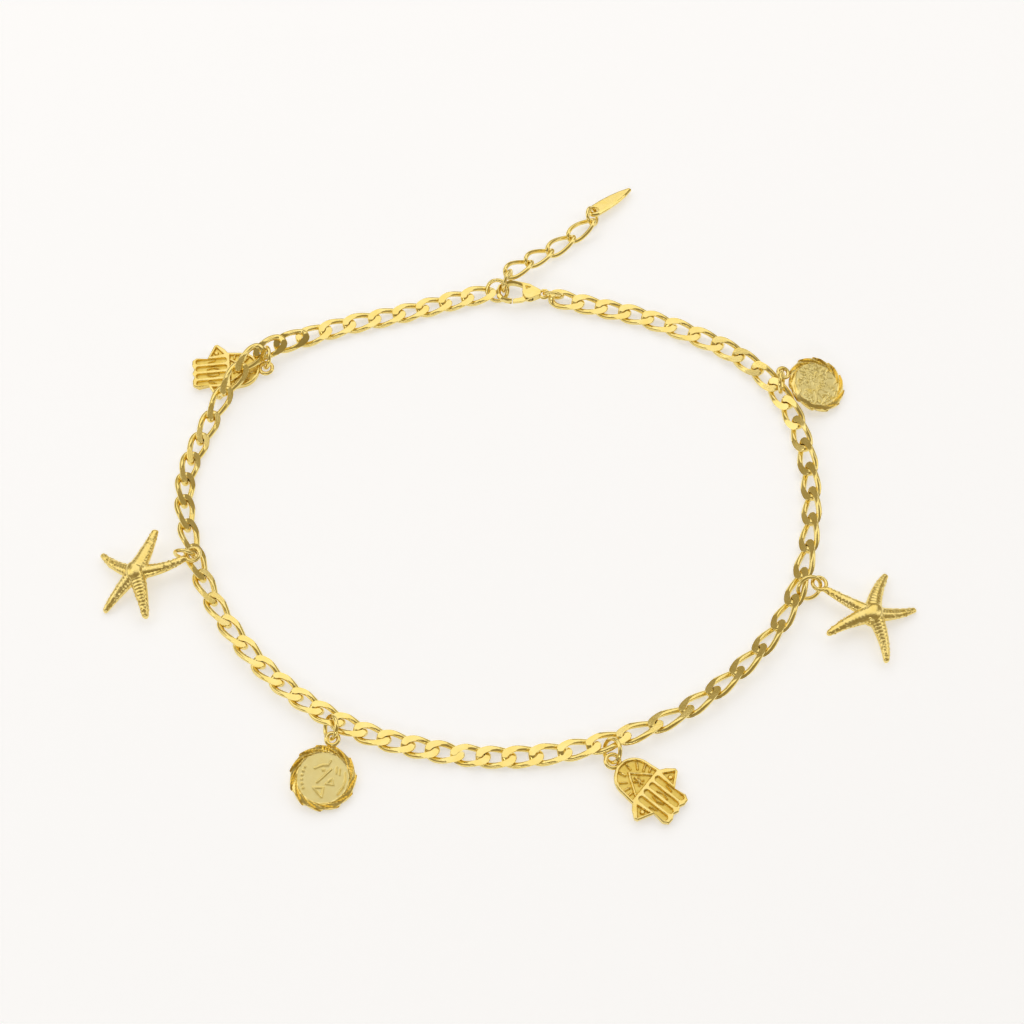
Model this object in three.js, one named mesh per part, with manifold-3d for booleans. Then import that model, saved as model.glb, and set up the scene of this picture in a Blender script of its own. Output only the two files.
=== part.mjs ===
// Charm anklet: a flat curb chain with starfish, coins and hamsa hands, a lobster clasp and an extender.
// Millimetres, +Z up. The closed loop lies on a level surface at z = 0, with the clasp at the back.

import * as THREE from 'three';
import { mergeVertices } from 'three/addons/utils/BufferGeometryUtils.js';
import Module from 'manifold-3d';

const wasm = await Module();
wasm.setup();

const DEG = Math.PI / 180;

// Colours of the gold plate: the polished chain, the cast charms and the satin coin fields
const POLISHED = { color: 0xe8bd4e, roughness: 0.18, metalness: 1 };
const CAST = { color: 0xdcb045, roughness: 0.3, metalness: 1 };

// The curb link: an oval loop of wire, twisted along its length so that neighbours lie in one another
const WIRE = 0.70;
const LINK_WIDTH = 3.05;
const LINK_TWIST = 30 * DEG;
const LINK_SQUARENESS = 2.8;
const LINK_OVERLAP = 1.85;
const LINK_STEP = 0.03;
const LINK_FLAT = 0.62;
const WIRE_SIDES = 5;
const LINK_STATIONS = 10;
const MEETING_OVERLAP = 1.78;
const MEETING_TWIST = 60 * DEG;

// The way the chain lies. Each row is a point of the loop, seen from above, going from the end ring
// down the left side, along the front and up the right side to the clasp. roll turns the flat links
// about the way of the chain, negative with the outer edge up, lift raises them off the surface,
// and links is how many lie between this row and the next.
const CHAIN_PATH = [
  { x: -5.0, y: 36.1, roll: -8, lift: 0.2, links: 3 },
  { x: -15.0, y: 33.3, roll: 0, lift: 0, links: 4 },
  { x: -29.1, y: 29.0, roll: -12, lift: 0.1, links: 3 },
  { x: -37.8, y: 23.6, roll: -58, lift: 1.4, links: 3 },
  { x: -43.5, y: 12.6, roll: -50, lift: 0, links: 3 },
  { x: -45.7, y: 2.8, roll: -45, lift: 0, links: 4 },
  { x: -41.4, y: -12.3, roll: -32, lift: 0, links: 4 },
  { x: -32.2, y: -24.6, roll: -20, lift: 0, links: 4 },
  { x: -21.2, y: -32.2, roll: -15, lift: 0.2, links: 4 },
  { x: -8.8, y: -35.6, roll: 0, lift: 0, links: 3 },
  { x: 1.3, y: -36.2, roll: 0, lift: 0, links: 3 },
  { x: 12.4, y: -34.3, roll: -20, lift: 0.2, links: 3 },
  { x: 24.8, y: -28.6, roll: -28, lift: 0, links: 4 },
  { x: 36.9, y: -16.1, roll: -36, lift: 0, links: 4 },
  { x: 41.6, y: 0.1, roll: -46, lift: 0, links: 4 },
  { x: 40.0, y: 15.3, roll: -40, lift: 0, links: 3 },
  { x: 34.3, y: 24.1, roll: -22, lift: 0, links: 4 },
  { x: 21.7, y: 31.3, roll: -6, lift: 0, links: 4 },
  { x: 8.1, y: 35.1, roll: -8, lift: 0.2, links: 0 },
];
const LEFT_LINKS = 33;

// The jump rings: round wire, and the places where they hang
const RING_SIDES = 5;
const RING_STATIONS = 11;
const RINGS = [
  { name: 'ring_hamsa_left', x: -35.75, y: 24.54, z: 1.68, turn: 101.8, stand: 112.6, outer: 3.6, wire: 0.5 },
  { name: 'ring_starfish_left', x: -44.5, y: -7.79, z: 2.14, turn: 169.7, stand: 87.6, outer: 3.5, wire: 0.5 },
  { name: 'ring_coin_left', x: -23.51, y: -32.54, z: 1.55, turn: 281, stand: 56.3, outer: 3.6, wire: 0.5 },
  { name: 'ring_hamsa_right', x: 12.93, y: -35.71, z: 1.57, turn: 285.5, stand: 54.1, outer: 3.6, wire: 0.5 },
  { name: 'ring_starfish_right', x: 40.22, y: -12.49, z: 1.68, turn: 18.2, stand: 53.8, outer: 3.8, wire: 0.5 },
  { name: 'ring_coin_right', x: 38.75, y: 19.91, z: 2.41, turn: 78.5, stand: 77, outer: 3.6, wire: 0.5 },
  { name: 'ring_end', x: -2.19, y: 36.62, z: 1.38, turn: -12, stand: 45.3, outer: 3.7, wire: 0.55 },
  { name: 'ring_extender', x: -0.71, y: 37.93, z: 1.96, turn: 68.4, stand: 89.7, outer: 3.8, wire: 0.5 },
  { name: 'ring_clasp', x: 6.14, y: 35.63, z: 1.56, turn: -8.1, stand: 111.6, outer: 3.3, wire: 0.5 },
  { name: 'ring_tag', x: 12.23, y: 50.36, z: 1.44, turn: 78.1, stand: 56.8, outer: 3.2, wire: 0.5 },
];

// The extender: thin curb links in a straight row, from the end ring's side out to the tag
const EXTENDER_PLACES = [
  { x: 0.9, y: 39.98, z: 2.43, turn: 37.8, tip: 4.4, lean: 12.6 },
  { x: 4.02, y: 42.72, z: 1.56, turn: 38.4, tip: 1.5, lean: 11.7 },
  { x: 7.34, y: 45.21, z: 1.14, turn: 39.2, tip: 2.1, lean: 1.6 },
  { x: 10.51, y: 48, z: 1.25, turn: 41.4, tip: 1.3, lean: -4.4 },
];
const EXTENDER_LINK = { length: 5.6, width: 2.9, wire: 0.5, twist: 45 * DEG, squareness: 2.6, flat: 0.62 };

// The charms lie face up, +Y towards their eyelet: place, turn, how far the eyelet's end is raised (tip)
// and how far the left side is lowered (lean)
const STARFISH_EYELET = { at: 8.1, radius: 0.95, wire: 0.55, thick: 0.55, height: 0.38 };
const STARFISH = [
  {
    name: 'starfish_left', x: -50.91, y: -10.3, z: 1.11, turn: -73.6, tip: 10.2, lean: 1.4,
    arms: [
      { start: 74, end: 106, length: 7.5, root: 0.75, tip: 0.5 },
      { start: 139, end: 151, length: 6.9, root: 0.95, tip: 0.5 },
      { start: 239, end: 204, length: 6.6, root: 0.75, tip: 0.4 },
      { start: 300, end: 310, length: 6.9, root: 0.85, tip: 0.45 },
      { start: 365, end: 352, length: 6.9, root: 0.9, tip: 0.5 },
    ],
  },
  {
    name: 'starfish_right', x: 48.29, y: -16.42, z: 0.81, turn: 56.7, tip: 5.2, lean: 4.6,
    arms: [
      { start: 96, end: 88, length: 7.5, root: 0.75, tip: 0.5 },
      { start: 141, end: 157, length: 7.2, root: 0.9, tip: 0.45 },
      { start: 238, end: 210, length: 7.1, root: 0.85, tip: 0.45 },
      { start: 302, end: 328, length: 6.7, root: 0.8, tip: 0.4 },
      { start: 24, end: -6, length: 7.2, root: 0.9, tip: 0.45 },
    ],
  },
];
const STARFISH_BOSS = { radius: 1.5, height: 1.95 };
const ARM_SIDES = 6;
const ARM_STATIONS = 4;
const ARM_BEADS = { thin: 0.94, thick: 1.08, end: 0.55 };
const ARM_BURIED = 0.08;
const ARM_FLATNESS = 0.85;

const COIN = { radius: 4.45, back: 4.2, crest: 3.95, field: 3.35, rimHeight: 0.95, fieldHeight: 0.6, cuts: 12 };
const COIN_EYELET = { at: 5.35, radius: 0.85, wire: 0.45, thick: 0.45, height: 0.45 };
const COINS = [
  { name: 'coin_left', x: -24.29, y: -39.15, z: 0.6, turn: -11, tip: 5.1, lean: 6.2 },
  { name: 'coin_right', x: 43.74, y: 19.96, z: 1.22, turn: 77.8, tip: 16.6, lean: -1.5 },
];
// Raised strokes on the coins' fields: middle, length, width and turn of each bar
const COIN_STROKES = [
  { x: 0.1, y: 0.3, length: 2.5, width: 0.35, turn: 55 },
  { x: -0.6, y: 1.6, length: 2.0, width: 0.35, turn: 22 },
  { x: -0.2, y: -2.0, length: 1.5, width: 0.35, turn: 145 },
  { x: 2.6, y: 0.0, length: 2.4, width: 0.3, turn: 96 },
  { x: -2.4, y: -0.5, length: 2.2, width: 0.3, turn: 88 },
];
const COIN_STROKE = { thick: 0.3, sunk: 0.13 };
const COIN_CUT = { inward: 0.04, deep: 0.2 };
const COIN_EDGE = { height: 0.54, slant: 0.08 };

// The hamsa hand, origin at the middle of its crossbar: dome up, fingers down
const HAMSA = { thick: 0.95, recess: 0.32, domeRadius: 2.75, domeHeight: 1.7 };
const HAMSA_EYELET = { at: 5.4, radius: 0.92, wire: 0.48, thick: 0.5, height: 0.45 };
const HAMSA_FLARE = [[2.95, -0.05], [3.6, -0.5], [4.42, -1.5], [4.3, -1.95], [2.2, -3.05]];
const HAMSA_FINGERS = [[2.45, -4.6], [2.05, -5.25], [1.25, -5.3], [0.65, -5.0], [0, -5.3]];
const HAMSA_FLARE_RECESS = [[2.7, -0.85], [3.85, -1.75], [2.35, -2.55]];
const HAMSA_PALM_RECESSES = [
  [[-2.2, 0.45], [-2.3, 1.6], [-1.2, 3.4], [-0.75, 3.5], [-1.5, 0.45]],
  [[-0.95, 0.45], [0, 2.6], [0.95, 0.45]],
  [[1.5, 0.45], [0.75, 3.5], [1.2, 3.4], [2.3, 1.6], [2.2, 0.45]],
];
const HAMSA_SLOT = { width: 0.62, top: -0.5, bottom: -4.3, pitch: 1.12, point: 0.2, shorter: 0.25 };
const HAMSAS = [
  { name: 'hamsa_left', x: -41.1, y: 22.72, z: 0.41, turn: -84.2, tip: 0.5, lean: 4.8 },
  { name: 'hamsa_right', x: 17.07, y: -40.32, z: 0.38, turn: 50.9, tip: 3.6, lean: 0.9 },
];

// The tag at the end of the extender: a long drop with a bevelled edge, +Y towards its point
const TAG = { x: 15.06, y: 53.46, z: 0.85, turn: -50.7, tip: -3.9, lean: -11.7 };
const TAG_SHAPE = { tip: 4.3, tipWidth: 0.3, side: 1.4, endRadius: 1.2, thick: 0.7, bevel: 0.22 };
const TAG_HOLE = { at: -3.1, radius: 0.62 };

// The lobster clasp: the middle of its ring is the origin, its tail points along +X
const CLASP = { x: -0.19, y: 36.3, z: 1.44, turn: -5.8, tip: -2.2, lean: -1.8 };
const CLASP_HOOK = [[0.35, -1.66], [-0.9, -1.5], [-1.75, -0.6], [-1.7, 0.65], [-0.8, 1.55], [0.5, 1.7], [1.9, 1.3]];
const CLASP_HOOK_RADIUS = 0.4;
const CLASP_THICK = 1.1;
const CLASP_WEB = [
  [1.5, 1.62], [2.7, 1.4], [3.9, 0.75], [4.5, 0.4], [4.5, -0.4],
  [3.9, -0.8], [3.1, -1.25], [2.3, -1.15], [1.75, -0.2], [1.75, 0.7],
];
const CLASP_WINDOW = [[2.1, 1.0], [3.0, 0.85], [2.3, 0.35]];
const CLASP_EYE = { at: 5.0, radius: 0.72, wire: 0.55 };
const CLASP_GATE = [[2.95, 0.25], [2.95, -3.5], [-1, -3.5], [-1, -1.0], [1.75, -0.35]];
const CLASP_RING_BAR = { x: -0.2, radius: 1.9 };
const PIVOT = { x: 2.95, y: -0.5, pin: 0.24, hole: 0.36, boss: 0.6, slot: 0.75, slotHeight: 0.6 };
const LEVER_THICK = 0.4;
const LEVER_ARM = [[2.6, 0.0], [2.9, -1.1], [1.9, -1.75], [0.5, -2.02], [0.5, -1.3], [1.6, -1.0]];

// A joined solid from a closed three.js geometry, and back
function solid(geometry) {
  const bare = geometry.clone();
  bare.deleteAttribute('normal');
  bare.deleteAttribute('uv');
  const merged = mergeVertices(bare, 1e-4);
  const vertProperties = new Float32Array(merged.attributes.position.array);
  const triVerts = new Uint32Array(merged.index.array);
  return new wasm.Manifold(new wasm.Mesh({ numProp: 3, vertProperties, triVerts }));
}

function geometryOf(manifold) {
  const mesh = manifold.getMesh();
  const geometry = new THREE.BufferGeometry();
  geometry.setAttribute('position', new THREE.BufferAttribute(new Float32Array(mesh.vertProperties), 3));
  geometry.setIndex(new THREE.BufferAttribute(new Uint32Array(mesh.triVerts), 1));
  geometry.computeVertexNormals();
  return geometry;
}

function joined(geometries) {
  return geometries.map(solid).reduce((whole, next) => whole.add(next));
}

// Power that keeps its sign, for rounded-square curves
function signedPower(value, exponent) {
  return Math.sign(value) * Math.abs(value) ** exponent;
}

// A twisted oval link along X, with its ends at back and front, bent from a torus
function linkGeometry({ back, front, width, wire, twistBack, twistFront, squareness, flat }) {
  const geometry = new THREE.TorusGeometry(1, 0.5, WIRE_SIDES, LINK_STATIONS);
  const { position, uv } = geometry.attributes;
  const halfLength = (front - back - wire) / 2;
  const middle = (front + back) / 2;
  const halfWidth = (width - wire) / 2;
  const wireRadius = wire / 2 / Math.cos(Math.PI / WIRE_SIDES);
  const power = 2 / squareness;
  for (let i = 0; i < position.count; i++) {
    const around = 2 * Math.PI * uv.getX(i);
    const section = 2 * Math.PI * uv.getY(i) + Math.PI / 2;
    const c = Math.cos(around);
    const s = Math.sin(around);
    const x = halfLength * signedPower(c, power);
    const y = halfWidth * signedPower(s, power);
    const out = new THREE.Vector2(signedPower(c, 2 - power) / halfLength, signedPower(s, 2 - power) / halfWidth);
    out.normalize().multiplyScalar(wireRadius * Math.cos(section));
    const height = wireRadius * Math.sin(section);
    const angle = -(x < 0 ? twistBack : twistFront) * x / halfLength;
    const side = y + out.y;
    const twistedY = side * Math.cos(angle) - height * Math.sin(angle);
    const twistedZ = side * Math.sin(angle) + height * Math.cos(angle);
    position.setXYZ(i, middle + x + out.x, twistedY, THREE.MathUtils.clamp(twistedZ, -flat, flat));
  }
  return geometry;
}

// Where each link of the chain lies: its centre, the way of the chain, its roll and its lift
function chainPlaces() {
  const points = CHAIN_PATH.map(({ x, y }) => new THREE.Vector3(x, y, 0));
  const curve = new THREE.CatmullRomCurve3(points, false, 'centripetal');
  const stretches = CHAIN_PATH.length - 1;
  const places = [];
  CHAIN_PATH.forEach((row, index) => {
    const next = CHAIN_PATH[Math.min(index + 1, stretches)];
    const count = Math.max(row.links, 1);
    for (let step = 0; step < count; step++) {
      const part = step / count;
      const along = Math.min((index + part) / stretches, 1);
      places.push({
        centre: curve.getPoint(along),
        way: curve.getTangent(along),
        roll: THREE.MathUtils.lerp(row.roll, next.roll, part) * DEG,
        lift: THREE.MathUtils.lerp(row.lift, next.lift, part),
      });
    }
  });
  return places;
}

function chainLinks() {
  const places = chainPlaces();
  return places.map(({ centre, way, roll, lift }, index) => {
    const before = places[Math.max(index - 1, 0)].centre;
    const after = places[Math.min(index + 1, places.length - 1)].centre;
    const stepBack = index > 0 ? centre.distanceTo(before) : centre.distanceTo(after);
    const stepOn = index < places.length - 1 ? centre.distanceTo(after) : centre.distanceTo(before);
    const overlapBack = index === LEFT_LINKS ? MEETING_OVERLAP * 2 - LINK_OVERLAP : LINK_OVERLAP;
    const geometry = linkGeometry({
      back: -(stepBack + overlapBack) / 2,
      front: (stepOn + LINK_OVERLAP) / 2,
      width: LINK_WIDTH,
      wire: WIRE,
      twistBack: index === LEFT_LINKS ? MEETING_TWIST : LINK_TWIST,
      twistFront: index === LEFT_LINKS - 1 ? MEETING_TWIST : LINK_TWIST,
      squareness: LINK_SQUARENESS,
      flat: LINK_FLAT,
    });
    const inward = new THREE.Vector3(-way.y * Math.cos(roll), way.x * Math.cos(roll), Math.sin(roll));
    const up = new THREE.Vector3().crossVectors(way, inward);
    const step = index % 2 ? LINK_STEP : -LINK_STEP;
    const height = LINK_FLAT + lift + step + (LINK_WIDTH - WIRE) / 2 * Math.abs(Math.sin(roll));
    const frame = new THREE.Matrix4().makeBasis(way, inward, up).setPosition(centre.x, centre.y, height);
    return geometry.applyMatrix4(frame);
  });
}

function jumpRing({ outer, wire }) {
  return new THREE.TorusGeometry((outer - wire) / 2, wire / 2, RING_SIDES, RING_STATIONS);
}

// A flat eyelet whose hole looks up, on the charm's +Y axis
function eyelet({ at, radius, wire, thick, height }) {
  const ring = new THREE.TorusGeometry(radius, wire / 2, 5, 10);
  return ring.scale(1, 1, thick / wire).translate(0, at, height);
}

// A plate with a straight edge, from z = bottom to z = bottom + thick
function plate(points, thick, bottom = 0) {
  const shape = new THREE.Shape(points.map(([x, y]) => new THREE.Vector2(x, y)));
  const geometry = new THREE.ExtrudeGeometry(shape, { depth: thick, bevelEnabled: false });
  return geometry.translate(0, 0, bottom);
}

function mirrored(points) {
  return points.map(([x, y]) => [-x, y]).reverse();
}

// A tapering arm of a starfish: a cylinder laid along an arc, with its flat side on the surface
function starfishArm({ start, end, length, root, tip }) {
  const geometry = new THREE.CylinderGeometry(1, 1, 1, ARM_SIDES, ARM_STATIONS);
  const { position } = geometry.attributes;
  const first = start * DEG;
  const bend = (end - start) * DEG;
  for (let i = 0; i < position.count; i++) {
    const part = position.getY(i) + 0.5;
    const station = Math.round(part * ARM_STATIONS);
    const rounding = station === ARM_STATIONS ? ARM_BEADS.end : 1;
    const bead = station % 2 ? ARM_BEADS.thick : ARM_BEADS.thin;
    const radius = THREE.MathUtils.lerp(root, tip, part) * rounding * bead;
    const along = THREE.MathUtils.lerp(ARM_BURIED, 1, part);
    const heading = first + bend * along;
    const middleX = length * (Math.sin(heading) - Math.sin(first)) / bend;
    const middleY = length * (Math.cos(first) - Math.cos(heading)) / bend;
    const side = position.getX(i) * radius;
    const height = radius * (1 + position.getZ(i)) * ARM_FLATNESS;
    position.setXYZ(i, middleX + side * Math.sin(heading), middleY - side * Math.cos(heading), height);
  }
  return geometry;
}

function starfishGeometry(arms) {
  const { radius, height } = STARFISH_BOSS;
  const boss = new THREE.SphereGeometry(1, 8, 5).scale(radius, radius, height / 2).rotateZ(0.2);
  boss.translate(0, 0, height / 2);
  return geometryOf(joined([boss, ...arms.map(starfishArm), eyelet(STARFISH_EYELET)]));
}

// A coin with a rope-like rim of slanted cuts round a flat field
function coinGeometry() {
  const { radius, back, crest, field, rimHeight, fieldHeight, cuts } = COIN;
  const { height: edge, slant } = COIN_EDGE;
  const under = [[0, 0], [back, 0], [radius, edge / 2], [radius - slant, edge]];
  const profile = [...under, [crest, rimHeight], [field, fieldHeight], [0, fieldHeight]];
  const segments = cuts * 2;
  const geometry = new THREE.LatheGeometry(profile.map(([r, z]) => new THREE.Vector2(r, z)), segments);
  geometry.rotateX(Math.PI / 2);
  const { position, uv } = geometry.attributes;
  for (let i = 0; i < position.count; i++) {
    const row = Math.round(uv.getY(i) * (profile.length - 1));
    const column = Math.round(uv.getX(i) * segments) % 2;
    if (row !== under.length) continue;
    const shrink = 1 - COIN_CUT.inward * column;
    position.setXYZ(i, position.getX(i) * shrink, position.getY(i) * shrink, rimHeight - COIN_CUT.deep * column);
  }
  const strokes = COIN_STROKES.map(({ x, y, length, width, turn }) => {
    const height = fieldHeight + COIN_STROKE.thick / 2 - COIN_STROKE.sunk;
    return new THREE.BoxGeometry(length, width, COIN_STROKE.thick).rotateZ(turn * DEG).translate(x, y, height);
  });
  return geometryOf(joined([geometry, eyelet(COIN_EYELET), ...strokes]));
}

function hamsaOutline() {
  const { domeRadius, domeHeight } = HAMSA;
  const dome = [];
  for (let step = 0; step <= 10; step++) {
    const angle = Math.PI * step / 10;
    dome.push([domeRadius * Math.cos(angle), domeHeight + domeRadius * Math.sin(angle)]);
  }
  const right = [...HAMSA_FINGERS.slice().reverse(), ...HAMSA_FLARE.slice().reverse()];
  return [...right, ...dome, ...mirrored(right).slice(0, -1)];
}

function hamsaGeometry() {
  const { thick, recess } = HAMSA;
  const { width, top, bottom, pitch, point, shorter } = HAMSA_SLOT;
  let hand = solid(plate(hamsaOutline(), thick)).add(solid(eyelet(HAMSA_EYELET)));
  const slots = [-1.5, -0.5, 0.5, 1.5].map((place) => {
    const x = place * pitch;
    const half = width / 2;
    const end = bottom + Math.abs(place) * shorter;
    const start = top - point;
    return [[x - half, end], [x, end - point], [x + half, end], [x + half, start], [x, top], [x - half, start]];
  });
  const recesses = [...slots, ...HAMSA_PALM_RECESSES, HAMSA_FLARE_RECESS, mirrored(HAMSA_FLARE_RECESS)];
  for (const outline of recesses) {
    hand = hand.subtract(solid(plate(outline, thick, thick - recess)));
  }
  return geometryOf(hand);
}

function tagGeometry() {
  const { tip, tipWidth, side, endRadius, thick, bevel } = TAG_SHAPE;
  const { at, radius } = TAG_HOLE;
  const shape = new THREE.Shape();
  shape.moveTo(endRadius, at);
  shape.quadraticCurveTo(side, tip / 4, tipWidth, tip - 0.15);
  shape.lineTo(0, tip);
  shape.lineTo(-tipWidth, tip - 0.15);
  shape.quadraticCurveTo(-side, tip / 4, -endRadius, at);
  shape.absarc(0, at, endRadius, Math.PI, 2 * Math.PI);
  const bevels = { bevelThickness: bevel, bevelSize: bevel, bevelOffset: -bevel, bevelSegments: 1 };
  const drop = new THREE.ExtrudeGeometry(shape, { depth: thick - 2 * bevel, curveSegments: 4, ...bevels });
  const hole = new THREE.CylinderGeometry(radius, radius, 4, 8).rotateX(Math.PI / 2);
  return geometryOf(solid(drop).subtract(solid(hole.translate(0, at, 0))));
}

// The hook of the clasp: a round bar bent along its outline, flattened above and below
function claspHook() {
  const points = CLASP_HOOK.map(([x, y]) => new THREE.Vector3(x, y, 0));
  const section = new THREE.Shape();
  section.absellipse(0, 0, CLASP_THICK / 2, CLASP_HOOK_RADIUS, 0, 2 * Math.PI);
  const curve = new THREE.CatmullRomCurve3(points);
  return new THREE.ExtrudeGeometry(section, { steps: 10, curveSegments: 3, extrudePath: curve });
}

function disc(x, y, radius, thick, sides = 10) {
  return new THREE.CylinderGeometry(radius, radius, thick, sides).rotateX(Math.PI / 2).translate(x, y, 0);
}

function claspBody() {
  const { at, radius, wire } = CLASP_EYE;
  const { x, y, pin, slot, slotHeight } = PIVOT;
  const web = plate(CLASP_WEB, CLASP_THICK, -CLASP_THICK / 2);
  const eye = new THREE.TorusGeometry(radius, wire / 2, 6, 10).translate(at, 0, 0);
  let body = joined([claspHook(), web, eye]);
  body = body.subtract(solid(plate(CLASP_WINDOW, 4, -2)));
  body = body.subtract(solid(disc(x, y, slot, slotHeight)));
  const ring = solid(disc(CLASP_RING_BAR.x, 0, CLASP_RING_BAR.radius, 2));
  body = body.subtract(solid(plate(CLASP_GATE, slotHeight, -slotHeight / 2)).subtract(ring));
  return geometryOf(body.add(solid(disc(x, y, pin, slotHeight + 0.2, 8))));
}

function claspLever() {
  const { x, y, hole, boss } = PIVOT;
  const arm = plate(LEVER_ARM, LEVER_THICK, -LEVER_THICK / 2);
  const lever = joined([arm, disc(x, y, boss, LEVER_THICK)]);
  return geometryOf(lever.subtract(solid(disc(x, y, hole, 2))).translate([-x, -y, 0]));
}

const anklet = new THREE.Group();

function addMesh(name, geometry, finish, group = anklet) {
  const mesh = new THREE.Mesh(geometry, new THREE.MeshStandardMaterial(finish));
  mesh.name = name;
  group.add(mesh);
  return mesh;
}

// Puts a piece on the surface: turned on it, then raised at its +Y end and leaned to its side
function lay(object, { x, y, z, turn, tip = 0, lean = 0 }) {
  object.rotation.order = 'ZXY';
  object.rotation.set(tip * DEG, lean * DEG, turn * DEG);
  object.position.set(x, y, z);
}

const links = chainLinks();
addMesh('chain_left', geometryOf(joined(links.slice(0, LEFT_LINKS))), POLISHED);
addMesh('chain_right', geometryOf(joined(links.slice(LEFT_LINKS))), POLISHED);

for (const ring of RINGS) {
  lay(addMesh(ring.name, jumpRing(ring), POLISHED), { ...ring, tip: ring.stand });
}

for (const starfish of STARFISH) {
  lay(addMesh(starfish.name, starfishGeometry(starfish.arms), CAST), starfish);
}

for (const coin of COINS) {
  lay(addMesh(coin.name, coinGeometry(), CAST), coin);
}

for (const hamsa of HAMSAS) {
  lay(addMesh(hamsa.name, hamsaGeometry(), CAST), hamsa);
}

EXTENDER_PLACES.forEach((place, index) => {
  const { length, wire, width, twist, squareness, flat } = EXTENDER_LINK;
  const ends = { back: -length / 2, front: length / 2, twistBack: twist, twistFront: twist };
  const link = linkGeometry({ ...ends, width, wire, squareness, flat });
  lay(addMesh(`extender_link_${index + 1}`, link, POLISHED), place);
});

lay(addMesh('tag', tagGeometry(), POLISHED), TAG);

const clasp = new THREE.Group();
lay(clasp, CLASP);
anklet.add(clasp);
addMesh('clasp_body', claspBody(), POLISHED, clasp);
const lever = addMesh('clasp_lever', claspLever(), POLISHED, clasp);
lever.position.set(PIVOT.x, PIVOT.y, 0);

// The origin is the middle of the underside of the whole anklet's box
anklet.updateMatrixWorld(true);
const box = new THREE.Box3().setFromObject(anklet, true);
const middle = box.getCenter(new THREE.Vector3());
anklet.position.set(-middle.x, -middle.y, -box.min.z);

export default anklet;
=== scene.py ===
"""A gold charm anklet on a pale table: curb chain, starfish, coins, hamsa hands, clasp and extender."""

import math
import random

import bmesh
import bpy
from mathutils import Matrix, Vector


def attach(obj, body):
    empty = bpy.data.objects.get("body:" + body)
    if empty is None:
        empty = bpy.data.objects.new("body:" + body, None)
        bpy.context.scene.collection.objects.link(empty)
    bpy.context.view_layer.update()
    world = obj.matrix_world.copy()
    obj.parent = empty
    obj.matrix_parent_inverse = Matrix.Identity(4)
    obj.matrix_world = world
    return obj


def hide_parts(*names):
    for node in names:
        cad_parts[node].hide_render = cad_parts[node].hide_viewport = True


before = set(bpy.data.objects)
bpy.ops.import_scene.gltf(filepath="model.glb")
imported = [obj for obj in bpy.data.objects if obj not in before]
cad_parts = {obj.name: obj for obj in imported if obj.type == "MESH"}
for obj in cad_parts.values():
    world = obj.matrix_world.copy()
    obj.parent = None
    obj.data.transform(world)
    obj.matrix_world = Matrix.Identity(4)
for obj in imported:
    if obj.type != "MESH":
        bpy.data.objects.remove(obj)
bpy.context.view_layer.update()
MM = 0.001

# The view of the photograph. The middle of the view is the table point straight under the
# camera's axis, and every place in this file is given from it, in millimetres.
TABLE_POINT = Vector((0.8487, -5.5582, 0.0368)) * MM
VIEW_ELEVATION = math.radians(62)
VIEW_DISTANCE = 238.6 * MM
lens = bpy.data.cameras.new("photo_lens")
lens.lens = 60.1
lens.sensor_width = 36
lens.clip_start = 0.01
camera = bpy.data.objects.new("photo_camera", lens)
away = Vector((0, -math.cos(VIEW_ELEVATION), math.sin(VIEW_ELEVATION)))
camera.location = TABLE_POINT + away * VIEW_DISTANCE
camera.rotation_euler = (math.pi / 2 - VIEW_ELEVATION, 0, 0)
bpy.context.collection.objects.link(camera)
bpy.context.scene.camera = camera


# The table is a plain white sheet, lit a little from beneath. The light comes from soft boxes:
# a large one overhead and behind, one on each side and a narrow one in front, in a plain warm
# room that the gold mirrors as brown.
class Value:
    """A socket of a node tree. Python's operators on it add Math nodes to that tree."""

    def __init__(self, tree, socket):
        self.tree, self.socket = tree, socket

    def math(self, operation, *others):
        inputs = dict(enumerate((self,) + others))
        made = add_node(self.tree, "ShaderNodeMath", inputs, operation=operation)
        return Value(self.tree, made.outputs[0])

    def reflected(self, operation, first):
        made = add_node(self.tree, "ShaderNodeMath", {0: first, 1: self}, operation=operation)
        return Value(self.tree, made.outputs[0])

    def __add__(self, other):
        return self.math("ADD", other)

    def __sub__(self, other):
        return self.math("SUBTRACT", other)

    def __mul__(self, other):
        return self.math("MULTIPLY", other)

    def __truediv__(self, other):
        return self.math("DIVIDE", other)

    def __pow__(self, other):
        return self.math("POWER", other)

    def __rsub__(self, other):
        return self.reflected("SUBTRACT", other)

    def __rtruediv__(self, other):
        return self.reflected("DIVIDE", other)

    __radd__, __rmul__ = __add__, __mul__

    def signed_power(self, exponent):
        return self.math("SIGN") * self.math("ABSOLUTE") ** exponent

    def limited(self, low, high):
        return self.math("MAXIMUM", low).math("MINIMUM", high)


def add_node(tree, kind, inputs=None, **settings):
    """Adds a node, sets its settings and then gives its sockets their values or links."""
    made = tree.nodes.new(kind)
    for name, value in settings.items():
        setattr(made, name, value)
    for key, value in (inputs or {}).items():
        if isinstance(value, Value):
            tree.links.new(value.socket, made.inputs[key])
        elif isinstance(value, bpy.types.NodeSocket):
            tree.links.new(value, made.inputs[key])
        else:
            made.inputs[key].default_value = value
    return made


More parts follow.
